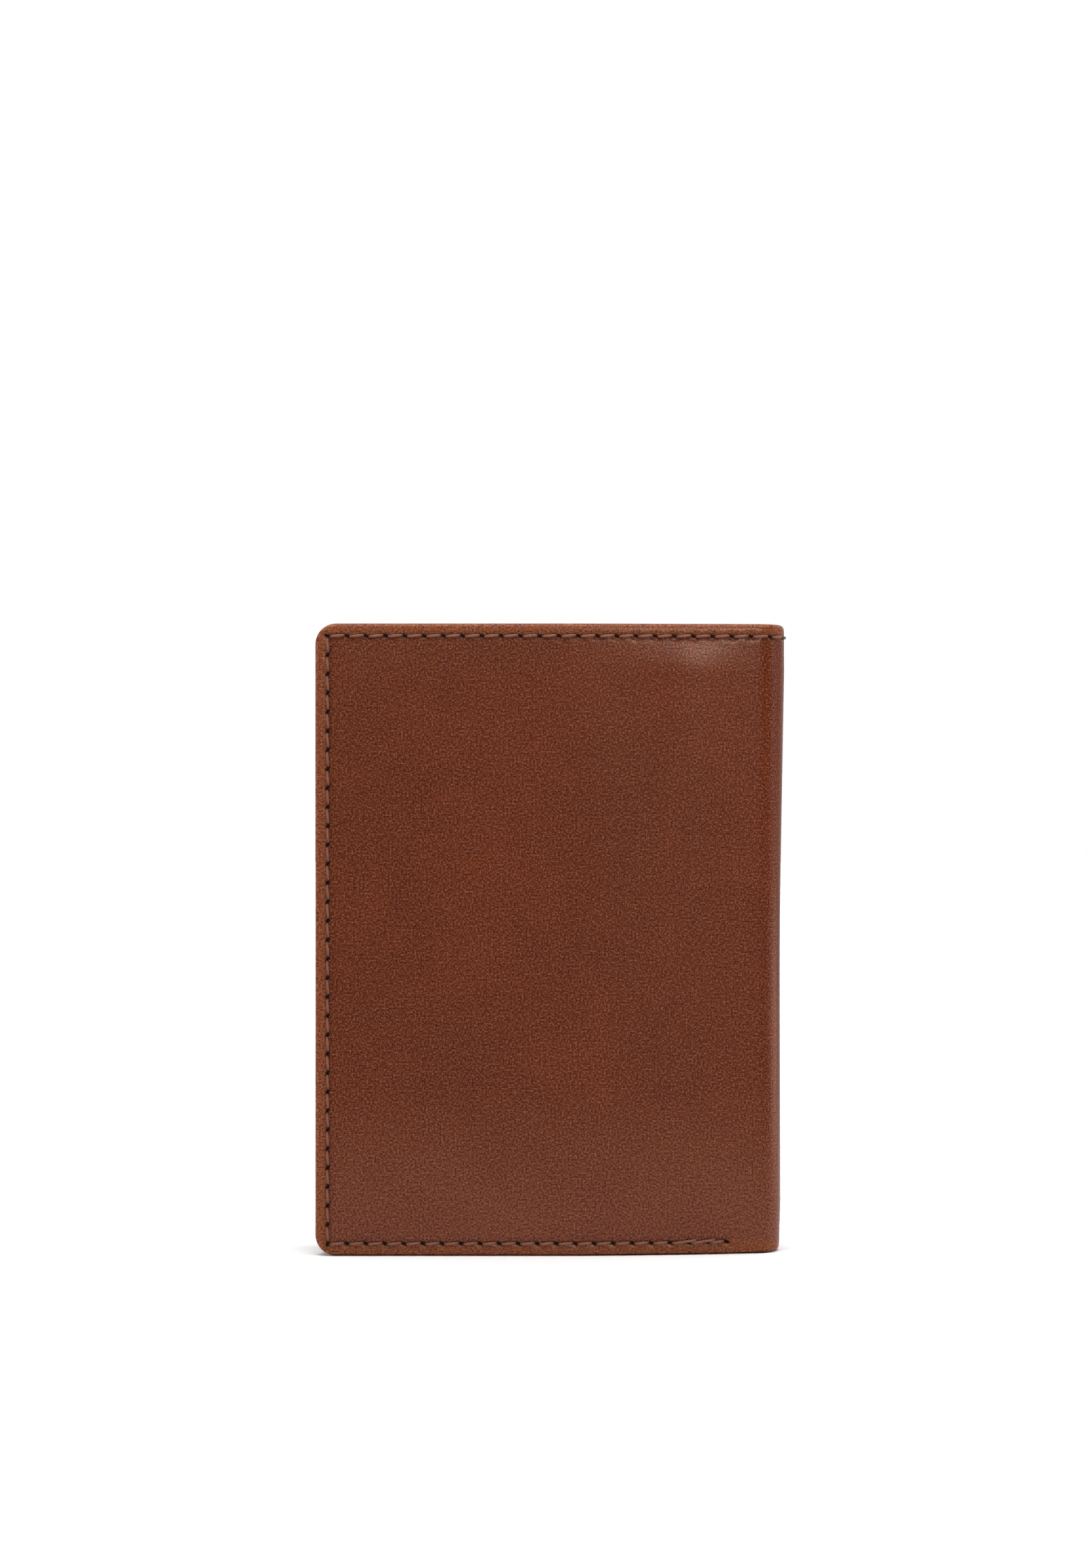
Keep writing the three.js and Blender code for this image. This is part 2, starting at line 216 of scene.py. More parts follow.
def outline_corners(shape, inset):
    """The outline's own points, anticlockwise, moved inwards by an inset."""
    s0, s1 = shape["s"]
    z0, z1 = shape["z"]
    s0, z0, z1 = s0 + inset, z0 + inset, z1 - inset
    points = []
    small = 0.15 * MM

    def corner(centre_s, centre_z, radius, start):
        points.append(arc_points((centre_s, centre_z), radius, start, start + math.pi / 2))

    low = max(shape["left"] - inset, small)
    corner(s0 + low, z0 + low, low, math.pi)
    if shape["cut"]:
        points.append(np.array([[s1, z0], [s1, z1]]))
    else:
        s1 -= inset
        r = max(shape["right"] - inset, small)
        corner(s1 - r, z0 + r, r, -math.pi / 2)
        if shape["notch"]:
            past, radius = shape["notch"]
            middle = (z0 + z1) / 2
            centre = (shape["s"][1] + past, middle)
            radius += inset
            half = math.acos((centre[0] - s1) / radius)
            points.append(
                arc_points(centre, radius, math.pi + half, math.pi - half, 3 * CORNER_STEPS)
            )
        corner(s1 - r, z1 - r, r, 0)
    high = max(shape["top_left"] - inset, small)
    corner(s0 + high, z1 - high, high, math.pi / 2)
    return np.concatenate(points)


def outline(shape, inset, step):
    """The outline at an inset, with the same number of points at every inset."""
    base = outline_corners(shape, 0)
    moved = outline_corners(shape, inset)
    made = []
    for i in range(len(base)):
        j = (i + 1) % len(base)
        count = max(1, round(np.linalg.norm(base[j] - base[i]) / step))
        made.append(moved[i] + (moved[j] - moved[i]) * (np.arange(count) / count)[:, None])
    return np.concatenate(made)


def inside(shape, points, margin):
    """True where a point is inside the outline by at least a margin."""
    s, z = points[:, 0], points[:, 1]
    s0, s1 = shape["s"]
    z0, z1 = shape["z"]
    right = 0.3 * MM if shape["cut"] else margin
    ok = (s > s0 + margin) & (s < s1 - right) & (z > z0 + margin) & (z < z1 - margin)
    corners = [(z0, 1, shape["left"]), (z1, -1, shape["top_left"])]
    for edge, sign, radius in corners:
        off_s = s0 + radius - s
        off_z = sign * (edge + sign * radius - z)
        outside = (off_s > 0) & (off_z > 0) & (np.hypot(off_s, off_z) > radius - margin)
        ok &= ~outside
    if shape["notch"]:
        past, radius = shape["notch"]
        ok &= np.hypot(s - s1 - past, z - (z0 + z1) / 2) > radius + margin
    return ok


# Seams -----------------------------------------------------------------------------------------


def leg(start, end, slant, count=None, whole=True):
    """One straight run of stitches. A run that isn't whole stops half a stitch before its end."""
    start, end = np.array(start), np.array(end)
    length = np.linalg.norm(end - start)
    if count is None:
        count = round(length / STITCH_PITCH - (0 if whole else 0.5))
    pitch = length / (count + (0 if whole else 0.5))
    along = (end - start) / length
    across = np.array([-along[1], along[0]])
    hole = math.cos(slant) * along + math.sin(slant) * across
    return {
        "start": start,
        "along": along,
        "across": across,
        "hole": hole,
        "pitch": pitch,
        "count": count,
        "length": length,
    }


def hole_places(legs):
    """Centre and direction of each needle hole, each once."""
    found = []
    for run in legs:
        for i in range(run["count"] + 1):
            centre = run["start"] + run["along"] * run["pitch"] * i
            if all(np.linalg.norm(centre - c) > 0.5 * MM for c, _ in found):
                found.append((centre, run["hole"]))
    return found


def seam_relief(points, legs, tight=1.0):
    """(how deep the leather is pressed in, how much painted shade it gets) at points of the flat pattern."""
    pressed = np.zeros(len(points))
    dark = np.zeros(len(points))
    for run in legs:
        offset = points - run["start"]
        a = offset @ run["along"]
        c = offset @ run["across"]
        over = np.clip(a - run["length"], 0, None) - np.clip(a, None, 0)
        near = np.hypot(c, over)
        stitch = 0.5 - 0.5 * np.cos(2 * math.pi * np.clip(a, 0, run["length"]) / run["pitch"])
        groove = (0.26 - 0.08 * stitch) * MM * np.exp(-((near / (0.62 * MM)) ** 2))
        lip = 0.05 * MM * stitch * np.exp(-(((near - 1.25 * MM) / (0.55 * MM)) ** 2))
        pressed = np.maximum(pressed, tight * (groove - lip))
        # Painted shade along the groove the thread lies in.
        dark = np.maximum(dark, 0.16 * np.exp(-((near / (0.45 * MM)) ** 2)))
    for centre, direction in hole_places(legs):
        offset = points - centre
        close = np.abs(offset).max(axis=1) < 3 * MM
        local = offset[close]
        a = local @ direction
        c = local @ np.array([-direction[1], direction[0]])
        r = np.hypot(a, c)
        q = np.hypot(a / HOLE_LENGTH, c / HOLE_WIDTH)
        pit = 0.75 * MM * (1 - smooth(q, 0.5, 1.2))
        dimple = 0.14 * MM * np.exp(-((r / (0.85 * MM)) ** 2))
        pressed[close] = pressed[close] + tight * dimple
        pressed[close] = np.maximum(pressed[close], pit)
        # Painted shade in and round each needle hole.
        dark[close] = np.maximum(dark[close], 1 - smooth(q, 0.85, 1.65))
    return pressed, dark


def seam_points(legs):
    """Extra points round the holes and along the grooves."""
    holes, rows = [], []
    for centre, direction in hole_places(legs):
        across = np.array([-direction[1], direction[0]])
        holes.append(centre[None])
        for q, count in ((0.5, 8), (0.85, 12), (1.2, 14), (1.8, 14)):
            angles = np.arange(count) * 2 * math.pi / count
            ring = (
                centre
                + np.outer(np.cos(angles) * q * HOLE_LENGTH, direction)
                + np.outer(np.sin(angles) * q * HOLE_WIDTH, across)
            )
            holes.append(ring)
    for run in legs:
        count = round(run["length"] / (0.45 * MM))
        a = np.linspace(0, run["length"], count)
        for offset in (-1.25, -0.8, -0.4, 0, 0.4, 0.8, 1.25, 1.8, 2.5):
            for sign in (-1, 1) if offset > 1.5 else (1,):
                line = run["start"] + np.outer(a, run["along"])
                rows.append(line + run["across"] * offset * sign * MM)
    return np.concatenate(holes), np.concatenate(rows)


# Meshes ----------------------------------------------------------------------------------------


def thinned(groups):
    """Joins groups of (points, clearance), each point kept only when it is clear of those before."""
    kept = groups[0][0]
    for points, clearance in groups[1:]:
        tree = KDTree(len(kept))
        for i, p in enumerate(kept):
            tree.insert((p[0], p[1], 0), i)
        tree.balance()
        clear = [p for p in points if tree.find((p[0], p[1], 0))[2] > clearance]
        chosen, cells = [], {}
        for p in clear:
            key = (round(p[0] / clearance), round(p[1] / clearance))
            around = [
                cells[(key[0] + i, key[1] + j)]
                for i in (-1, 0, 1)
                for j in (-1, 0, 1)
                if (key[0] + i, key[1] + j) in cells
            ]
            if all(np.hypot(*(p - q)) > clearance * 0.8 for q in around):
                cells[key] = p
                chosen.append(p)
        if chosen:
            kept = np.concatenate([kept, np.array(chosen)])
    return kept


def fill(loop, extra):
    """Triangles over a loop and the extra points inside it. Works in millimetres, for precision."""
    points = np.concatenate([loop, extra]) / MM if len(extra) else loop / MM
    count = len(loop)
    ring = [list(range(count))]
    made = delaunay_2d_cdt([Vector(p) for p in points], [], ring, 1, 1e-5, True)
    verts, faces, origin = made[0], made[2], made[3]
    place = [o[0] if o else None for o in origin]
    if len(verts) != len(points) or None in place:
        raise ValueError("a panel's points run into each other")
    return np.array([[place[i] for i in f] for f in faces])


def grid(shape, column_step, row_step, fine_from=None, fine_step=None):
    """Points over a panel, with closer columns beyond fine_from."""
    s0, s1 = shape["s"]
    z0, z1 = shape["z"]
    if fine_from is None:
        columns = np.arange(s0, s1, column_step)
    else:
        columns = np.concatenate(
            [np.arange(s0, fine_from, column_step), np.arange(fine_from, s1, fine_step)]
        )
    rows = np.arange(z0, z1, row_step)
    ss, zz = np.meshgrid(columns, rows)
    zz[:, 1::2] += row_step / 2
    return np.column_stack([ss.ravel(), zz.ravel()])


def make_mesh(name, points, faces, flat, dark, edge, material):
    """A smooth mesh with its outside out. flat keeps each point's place on the pattern."""
    tris = np.concatenate([np.array([[f[0], f[i], f[i + 1]] for f in faces]) for i in (1,)])
    a, b, c = points[tris[:, 0]], points[tris[:, 1]], points[tris[:, 2]]
    if np.einsum("ij,ij->i", a, np.cross(b, c)).sum() < 0:
        faces = [f[::-1] for f in faces]
    mesh = bpy.data.meshes.new(name)
    mesh.from_pydata(points.tolist(), [], [list(map(int, f)) for f in faces])
    mesh.validate()
    stored = mesh.attributes.new("flat", "FLOAT_VECTOR", "POINT")
    stored.data.foreach_set("vector", flat.astype(np.float32).ravel())
    for key, values in (("dark", dark), ("edge", edge)):
        shade = mesh.attributes.new(key, "FLOAT", "POINT")
        shade.data.foreach_set("value", values.astype(np.float32))
    mesh.polygons.foreach_set("use_smooth", [True] * len(mesh.polygons))
    mesh.set_sharp_from_angle(angle=math.radians(65))
    mesh.materials.append(material)
    made = bpy.data.objects.new(name, mesh)
    bpy.context.scene.collection.objects.link(made)
    return made


def sheet_piece(
    name,
    side,
    shape,
    rings,
    material,
    legs=(),
    surface=None,
    outline_step=1.2 * MM,
    spacing=(3 * MM, 6 * MM),
    fine=None,
    inked=0.0,
):
    """A closed layer. rings is its edge's section, [(inset, depth), ...], from its good face to its
    other face. surface(points) is extra depth on the good face. inked is how dark its edge is."""
    loops = [outline(shape, inset, outline_step) for inset, _ in rings]
    count = len(loops[0])
    face_margin = rings[0][0] + 0.35 * MM
    groups = [(loops[0], 0)]
    if legs:
        holes, rows = seam_points(legs)
        groups.append((holes[inside(shape, holes, face_margin)], 0.02 * MM))
        groups.append((rows[inside(shape, rows, face_margin)], 0.25 * MM))
    over = grid(shape, *spacing, *(fine or ()))
    groups.append((over[inside(shape, over, face_margin + 0.3 * MM)], 0.6 * MM))
    if shape["cut"]:
        beside = loops[0][loops[0][:, 0] > shape["s"][1] - 1e-6][1:-1] - [0.06 * MM, 0]
        groups.insert(1, (beside, 0.03 * MM))
    face = thinned(groups)
    top = fill(loops[0], face[count:])
    under = grid(shape, 4 * MM, 6 * MM, *((fine[0], 0.9 * MM) if fine else ()))
    under = thinned(
        [(loops[-1], 0), (under[inside(shape, under, rings[-1][0] + 0.6 * MM)], 0.6 * MM)]
    )
    bottom = fill(loops[-1], under[count:])

    flat_parts = [np.column_stack([face, np.full(len(face), rings[0][1])])]
    for loop, (_, depth) in zip(loops[1:-1], rings[1:-1]):
        flat_parts.append(np.column_stack([loop, np.full(count, depth)]))
    flat_parts.append(np.column_stack([under, np.full(len(under), rings[-1][1])]))
    starts = np.cumsum([0] + [len(p) for p in flat_parts])
    faces = [list(f) for f in top]
    order = np.arange(count)
    after = np.roll(order, -1)
    for k in range(len(rings) - 1):
        a, b = starts[k], starts[k + 1]
        faces += np.column_stack([after + a, order + a, order + b, after + b]).tolist()
    faces += (bottom[:, ::-1] + starts[-2]).tolist()

    flat = np.concatenate(flat_parts)
    depth = flat[:, 2].copy()
    dark = np.zeros(len(flat))
    dark[starts[1] : starts[-2]] = inked
    sign = -1 if rings[0][1] > rings[-1][1] else 1
    good = slice(0, starts[-2] if surface else starts[1])
    if surface:
        depth[good] += sign * surface(flat[good])
    if legs:
        # The seam's painted shade goes into the dark attribute of the good face.
        pressed, seam_shade = seam_relief(flat[: starts[1], :2], legs)
        limit = abs(rings[0][1] - rings[-1][1]) * 0.85
        depth[: starts[1]] += sign * np.minimum(pressed, limit)
        dark[: starts[1]] = seam_shade
    points = wrap(side, flat[:, 0], flat[:, 1], depth)
    edge = near_edge(shape, flat)
    if side == "front":
        flat[:, 0] = PLAN["total"] - flat[:, 0]
    return make_mesh(name, points, faces, flat, dark, edge, material)


def near_edge(shape, flat):
    """1 between a panel's seam and its edge, 0 inside the seam."""
    s, z = flat[:, 0], flat[:, 1]
    sides = [s - shape["s"][0], z - shape["z"][0], shape["z"][1] - z]
    if not shape["cut"]:
        sides.append(shape["s"][1] - s)
    if shape["notch"]:
        past, radius = shape["notch"]
        middle = (shape["z"][0] + shape["z"][1]) / 2
        sides.append(np.hypot(s - shape["s"][1] - past, z - middle) - radius)
    return 1 - smooth(np.min(sides, axis=0), EDGE_TINT[0], EDGE_TINT[1])


def slab_rings(good, other, rounding):
    """The edge section of a plain layer with rounded edges."""
    sign = 1 if other > good else -1
    r = min(rounding, abs(other - good) / 2)
    angles = np.linspace(0, math.pi / 2, 5)
    first = [(r * (1 - math.sin(a)), good + sign * r * (1 - math.cos(a))) for a in angles]
    last = [(inset, other - (depth - good)) for inset, depth in reversed(first)]
    return first + (last if abs(other - good) > 2 * r + 1e-9 else last[1:])


# Thread ----------------------------------------------------------------------------------------


def stitch_piece(name, side, legs, depth, inward, material, keep=None, doubled=()):
    """The visible stitches of a seam. Each dips into a hole at both ends."""
    steps, sides = 14, 10
    t = np.linspace(0, 1, steps)
    angles = np.arange(sides) * 2 * math.pi / sides
    points, flats, faces = [], [], []
    stitches = [(run, i, 0.0) for run in legs for i in range(run["count"])]
    stitches += list(doubled)
    base = 0
    for run, i, aside in stitches:
        start = run["start"] + run["along"] * run["pitch"] * i + run["across"] * aside
        if keep is not None and not keep(start + run["along"] * run["pitch"] / 2):
            continue
        slide = run["hole"] * 0.42 * MM
        end = start + run["along"] * run["pitch"]
        line = (start + slide) + np.outer(t, end - start - 2 * slide)
        dip = 1 - np.sin(np.clip(t, 0.0, 1.0) * math.pi) ** 0.35
        centre_depth = 0.04 * MM + 0.6 * MM * dip
        twist = 2 * math.pi * t * 3.1
        radius = THREAD_RADIUS * (1 - 0.25 * dip)
        for k in range(steps):
            r = radius[k] * (1 + 0.12 * np.cos(2 * angles - 2 * twist[k]))
            c = line[k] + np.outer(np.cos(angles) * r * 1.08, run["across"])
            d = centre_depth[k] - np.sin(angles) * r * 0.92
            points.append(np.column_stack([c, depth + inward * d]))
            along = np.full(sides, (i + t[k]) * run["pitch"])
            flats.append(np.column_stack([along, angles * THREAD_RADIUS, dip[k] * np.ones(sides)]))
        order = np.arange(sides)
        after = np.roll(order, -1)
        for k in range(steps - 1):
            a, b = base + k * sides, base + (k + 1) * sides
            faces += np.column_stack([order + a, after + a, after + b, order + b]).tolist()
        faces.append((base + order[::-1]).tolist())
        faces.append((base + (steps - 1) * sides + order).tolist())
        base += steps * sides
    flat = np.concatenate(points)
    wrapped = wrap(side, flat[:, 0], flat[:, 1], flat[:, 2])
    own = np.concatenate(flats)
    # The thread's dip into the holes is passed as its dark attribute, for painted shade.
    return make_mesh(name, wrapped, faces, own, own[:, 2], np.zeros(len(own)), material)


# Materials -------------------------------------------------------------------------------------


def linear(red, green, blue):
    """A colour given as 0 to 255 display values."""
    made = []
    for value in (red, green, blue):
        v = value / 255
        made.append(v / 12.92 if v <= 0.04045 else ((v + 0.055) / 1.055) ** 2.4)
    return (*made, 1.0)


class Shader:
    """Short ways to add and join nodes of one material."""

    def __init__(self, name):
        self.material = bpy.data.materials.new(name)
        self.material.use_nodes = True
        self.tree = self.material.node_tree
        self.surface = self.tree.nodes["Principled BSDF"]

    def node(self, kind, inputs=None, **settings):
        made = self.tree.nodes.new(kind)
        for key, value in settings.items():
            setattr(made, key, value)
        for key, value in (inputs or {}).items():
            if isinstance(value, bpy.types.NodeSocket):
                self.tree.links.new(value, made.inputs[key])
            else:
                made.inputs[key].default_value = value
        return made

    def attribute(self, name, output="Vector"):
        return self.node("ShaderNodeAttribute", attribute_name=name).outputs[output]

    def stretched(self, vector, scale):
        made = self.node("ShaderNodeVectorMath", {0: vector, 1: scale}, operation="MULTIPLY")
        return made.outputs["Vector"]

    def noise(self, vector, scale, detail=3.0, roughness=0.55, distortion=0.0):
        inputs = {
            "Vector": vector,
            "Scale": scale,
            "Detail": detail,
            "Roughness": roughness,
            "Distortion": distortion,
        }
        return self.node("ShaderNodeTexNoise", inputs).outputs["Fac"]

    def cells(self, vector, scale, feature="F1"):
        inputs = {"Vector": vector, "Scale": scale}
        return self.node("ShaderNodeTexVoronoi", inputs, feature=feature).outputs["Distance"]

    def math(self, operation, a, b=0.0, clamp=False):
        made = self.node("ShaderNodeMath", {0: a, 1: b}, operation=operation)
        made.use_clamp = clamp
        return made.outputs["Value"]

    def remap(self, value, low, high, to_low=0.0, to_high=1.0):
        inputs = {
            "Value": value,
            "From Min": low,
            "From Max": high,
            "To Min": to_low,
            "To Max": to_high,
        }
        return self.node("ShaderNodeMapRange", inputs).outputs["Result"]

    def mix(self, factor, a, b, blend="MIX"):
        made = self.node("ShaderNodeMix", data_type="RGBA", blend_type=blend)
        for socket, value in ((made.inputs[0], factor), (made.inputs[6], a), (made.inputs[7], b)):
            if isinstance(value, bpy.types.NodeSocket):
                self.tree.links.new(value, socket)
            else:
                socket.default_value = value
        return made.outputs[2]

    def bump(self, height, distance, strength=1.0, normal=None):
        inputs = {"Height": height, "Distance": distance, "Strength": strength}
        if normal is not None:
            inputs["Normal"] = normal
        return self.node("ShaderNodeBump", inputs).outputs["Normal"]

    def link(self, output, name):
        self.tree.links.new(output, self.surface.inputs[name])

    def set(self, name, value):
        self.surface.inputs[name].default_value = value


def leather(name, base, dark_base, light_base, edge_strip_base, painted_floor_light_base, roughness, grain_tone=1.0):
    """Smooth vegetable-tanned leather: fine grain, cloudy colour, lighter edges, a paler lower part of
    painted floor light, a painted shadow line along the bottom, and painted shade in the seams.
    """
    m = Shader(name)
    flat = m.attribute("flat")
    dark = m.attribute("dark", "Fac")
    edge = m.attribute("edge", "Fac")
    cloud = m.noise(flat, 38, detail=3, roughness=0.5)
    blotch = m.noise(flat, 190, detail=4, roughness=0.6)
    streak = m.noise(m.stretched(flat, (0.12, 1.0, 1.0)), 330, detail=3)
    grain = m.noise(flat, 2450, detail=2, roughness=0.8)
    pores = m.cells(m.stretched(flat, (1.0, 0.9, 1.0)), 1900)

    colour = m.mix(m.remap(cloud, 0.36, 0.66, 0.3, 0.85), dark_base, base)
    colour = m.mix(m.remap(blotch, 0.4, 0.7, 0.0, 0.35), colour, light_base)
    colour = m.mix(m.remap(streak, 0.52, 0.75, 0.0, 0.12), colour, light_base)
    height = m.node("ShaderNodeSeparateXYZ", {"Vector": flat}).outputs["Y"]
    # Painted light: the lower 36 mm turn paler, standing in for light the floor throws onto the face.
    painted_floor_light = m.math("MULTIPLY", m.remap(height, 36 * MM, 4 * MM, 0.0, 0.8), m.remap(cloud, 0.3, 0.7, 0.7, 1.2))
    colour = m.mix(painted_floor_light, colour, painted_floor_light_base)
    # Lighter and more orange between the seam and the edge.
    edge_lighter = m.math("MULTIPLY", edge, m.remap(blotch, 0.3, 0.7, 0.75, 1.0))
    colour = m.mix(edge_lighter, colour, edge_strip_base)
    colour = m.mix(m.remap(grain, 0.5, 0.68, 0.0, 0.38 * grain_tone), colour, linear(188, 134, 108))
    colour = m.mix(m.remap(grain, 0.5, 0.34, 0.0, 0.86 * grain_tone), colour, linear(36, 8, 3))
    colour = m.mix(m.remap(pores, 0.0, 0.22, 0.45, 0.0), colour, dark_base)
    # Painted shade in the seam grooves and needle holes; on inner panels the same attribute also darkens
    # their inked cut edges.
    colour = m.mix(m.math("MULTIPLY", dark, 0.93), colour, linear(24, 10, 7))
    # Painted shadow: the bottom half millimetre darkens to a dark line where the edge stands on the floor.
    colour = m.mix(m.remap(height, 0.5 * MM, 0.15 * MM, 0.0, 0.85), colour, linear(30, 14, 9))
    m.link(colour, "Base Color")

    rough = m.remap(grain, 0.3, 0.7, roughness + 0.07, roughness - 0.05)
    rough = m.math("ADD", rough, m.math("MULTIPLY", dark, 0.3), clamp=True)
    m.link(rough, "Roughness")
    m.set("IOR", 1.46)
    m.set("Specular IOR Level", 0.11)

    relief = m.math("ADD", m.math("MULTIPLY", grain, 2.0), m.remap(pores, 0.0, 0.35))
    normal = m.bump(relief, 9e-6)
    normal = m.bump(m.noise(flat, 430, detail=4, distortion=0.4), 25e-6, 1.0, normal)
    m.link(normal, "Normal")
    return m.material


def cloth(name, base, dark_base, thread=0.42 * MM):
    """Plain weave lining."""
    m = Shader(name)
    flat = m.attribute("flat")
    split = m.node("ShaderNodeSeparateXYZ", {"Vector": flat})
    turns = math.pi / thread
    warp = m.math("SINE", m.math("MULTIPLY", split.outputs["X"], turns))
    weft = m.math("SINE", m.math("MULTIPLY", split.outputs["Y"], turns))
    over = m.math("MULTIPLY", warp, weft)
    height = m.remap(over, -1.0, 1.0)
    slub = m.noise(m.stretched(flat, (1.0, 0.06, 1.0)), 1500, detail=2)
    cloud = m.noise(flat, 60, detail=3)
    colour = m.mix(height, dark_base, base)
    colour = m.mix(m.remap(slub, 0.4, 0.7, 0.0, 0.4), colour, dark_base)
    colour = m.mix(m.remap(cloud, 0.4, 0.7, 0.0, 0.25), colour, dark_base)
    m.link(colour, "Base Color")
    m.link(m.remap(slub, 0.3, 0.7, 0.78, 0.92), "Roughness")
    m.set("Sheen Weight", 0.25)
    m.set("Sheen Roughness", 0.5)
    m.link(m.bump(height, 60e-6), "Normal")
    return m.material


def waxed_thread(name, base, dark_base):
    """Two-ply waxed thread."""
    m = Shader(name)
    flat = m.attribute("flat")
    dark = m.attribute("dark", "Fac")
    fibres = m.noise(m.stretched(flat, (0.5, 2.5, 1.0)), 3800, detail=3)
    tone = m.noise(flat, 160, detail=2)
    colour = m.mix(m.remap(fibres, 0.35, 0.65), dark_base, base)
    colour = m.mix(m.remap(tone, 0.4, 0.7, 0.0, 0.35), colour, dark_base)
    # Painted shade where the thread dips into the holes.
    colour = m.mix(m.math("MULTIPLY", dark, 0.8), colour, linear(28, 13, 9))
    m.link(colour, "Base Color")
    m.link(m.remap(fibres, 0.3, 0.7, 0.45, 0.65), "Roughness")
    m.set("Specular IOR Level", 0.25)
    m.link(m.bump(fibres, 25e-6), "Normal")
    return m.material


def fibre_board(name):
    m = Shader(name)
    flat = m.attribute("flat")
    fibres = m.noise(m.stretched(flat, (1.0, 0.3, 1.0)), 900, detail=4)
    m.link(m.mix(fibres, linear(120, 92, 66), linear(160, 130, 98)), "Base Color")
    m.set("Roughness", 0.9)
    m.link(m.bump(fibres, 40e-6), "Normal")
    return m.material


COVER = leather(
    "cover_leather",
    base=linear(102, 38, 7),
    dark_base=linear(85, 28, 5),
    light_base=linear(113, 48, 14),
    edge_strip_base=linear(128, 66, 34),
    # Painted light: colour of the lower part, paler as if lit from the floor.
    painted_floor_light_base=linear(116, 62, 42),
    roughness=0.3,
)
INNER = leather(
    "inner_leather",
    base=linear(104, 52, 31),
    dark_base=linear(84, 40, 24),
    light_base=linear(118, 62, 39),
    edge_strip_base=linear(122, 70, 47),
    # Painted light: colour of the lower part, paler as if lit from the floor.
    painted_floor_light_base=linear(112, 60, 40),
    roughness=0.46,
    grain_tone=0.35,
)
LINING = cloth("lining_cloth", linear(86, 62, 47), linear(50, 34, 25))
THREAD = waxed_thread("thread", linear(152, 98, 76), linear(100, 58, 42))
BOARD = fibre_board("board")


# Cover -----------------------------------------------------------------------------------------


def cover_rings():
    """Section of the turned edge: over the edge, back along the inside, and under itself."""
    angles = np.linspace(0, math.pi / 2, 7)
    across = EDGE_ROUND
    down = 0.9 * MM
    rings = [(across * (1 - math.sin(a)), down * (1 - math.cos(a))) for a in angles]
    rings += [(inset, FOLDED_EDGE - depth) for inset, depth in reversed(rings)]
    rings += [
        (3 * MM, FOLDED_EDGE),
        (RETURN_WIDTH - 0.3 * MM, FOLDED_EDGE),
        (RETURN_WIDTH, FOLDED_EDGE - 0.15 * MM),
        (RETURN_WIDTH, RETURN_OUTER + 0.1 * MM),
        (RETURN_WIDTH - 0.2 * MM, RETURN_OUTER),
        (2.1 * MM, RETURN_OUTER),
        (1.7 * MM, RETURN_OUTER - 0.25 * MM),
        (1.7 * MM, LEATHER_INNER + 0.25 * MM),
        (2.1 * MM, LEATHER_INNER),
    ]
    return rings


def cover_shape(side):
    return panel(0, HALF_LENGTH[side], 0, HEIGHT, CORNER_RADIUS, cut=True)


def cover_legs(side):
    """The seam of one half: the top from the corner to the spine, the side, the bottom."""
    top = HEIGHT - STITCH_INSET
    corner_top = (STITCH_INSET, top)
    corner_bottom = (STITCH_INSET, STITCH_INSET)
    bottom_end = (STITCH_INSET + BOTTOM_SEAM_LENGTH, STITCH_INSET)
    return [
        leg(corner_top, (HALF_LENGTH[side], top), -HOLE_SLANT, whole=False),
        leg(corner_bottom, corner_top, -HOLE_SLANT),
        leg(corner_bottom, bottom_end, -HOLE_SLANT),
    ]


def cover_surface(side):
    """Depth added on the outer face: the edge pressed thin, and slow waves over the middle."""

    def depth(flat):
        s, z = flat[:, 0], flat[:, 1]
        from_edge = np.minimum(np.minimum(s, z), HEIGHT - z)
        pressed = 0.2 * MM * (1 - smooth(from_edge, 2.5 * MM, 11 * MM))
        rolled = 0.3 * MM * np.clip(1 - from_edge / (2.5 * MM), 0, 1) ** 2
        waves = (
            np.sin(s / (17 * MM) + z / (31 * MM))
            + np.sin(z / (13 * MM) - s / (29 * MM) + 1.3)
            + 0.6 * np.sin(s / (8 * MM) + z / (11 * MM) + 0.4)
        )
        calm = smooth(from_edge, 3 * MM, 14 * MM)
        return pressed + rolled + 0.05 * MM * waves * calm

    return lambda flat: np.where(flat[:, 2] < 1.3 * MM, depth(flat), 0.0)


def bend(piece):
    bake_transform(piece)


def half_body(side):
    return f"{side}_half"


def make_cover(side):
    fine_from = PLAN["slope_end"] - 3 * MM if side == "back" else HALF_LENGTH[side] - 13 * MM
    skin = sheet_piece(
        f"cover_skin_{side}",
        side,
        cover_shape(side),
        cover_rings(),
        COVER,
        legs=cover_legs(side),
        surface=cover_surface(side),
        outline_step=0.8 * MM,
        spacing=(1.6 * MM, 2.2 * MM),
        fine=(fine_from, 0.6 * MM),
    )
    bend(skin)
    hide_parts(f"cover_{side}", "cover_spine")
    return skin


def make_cover_thread(side):
    legs = cover_legs(side)
    bottom = legs[2]
    doubled = [(bottom, bottom["count"] - 1.45, 0.3 * MM), (bottom, bottom["count"] - 2.45, 0.3 * MM)]
    thread = stitch_piece(
        f"seam_stitches_{side}", side, legs, 0.0, 1, THREAD, doubled=doubled
    )
    bend(thread)
    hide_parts(f"needle_thread_{side}")


def make_spine_thread():
    """The one stitch that crosses the middle of the spine."""
    pitch = cover_legs("back")[0]["pitch"]
    top = HEIGHT - STITCH_INSET
    run = leg((MIDDLE - pitch / 2, top), (MIDDLE + pitch / 2, top), -HOLE_SLANT, count=1)
    thread = stitch_piece("seam_stitches_spine", "back", [run], 0.0, 1, THREAD)
    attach(thread, "spine")
    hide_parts("needle_thread_spine")


for side in ("back", "front"):
    make_cover(side)
    make_cover_thread(side)
make_spine_thread()


# Inside ----------------------------------------------------------------------------------------

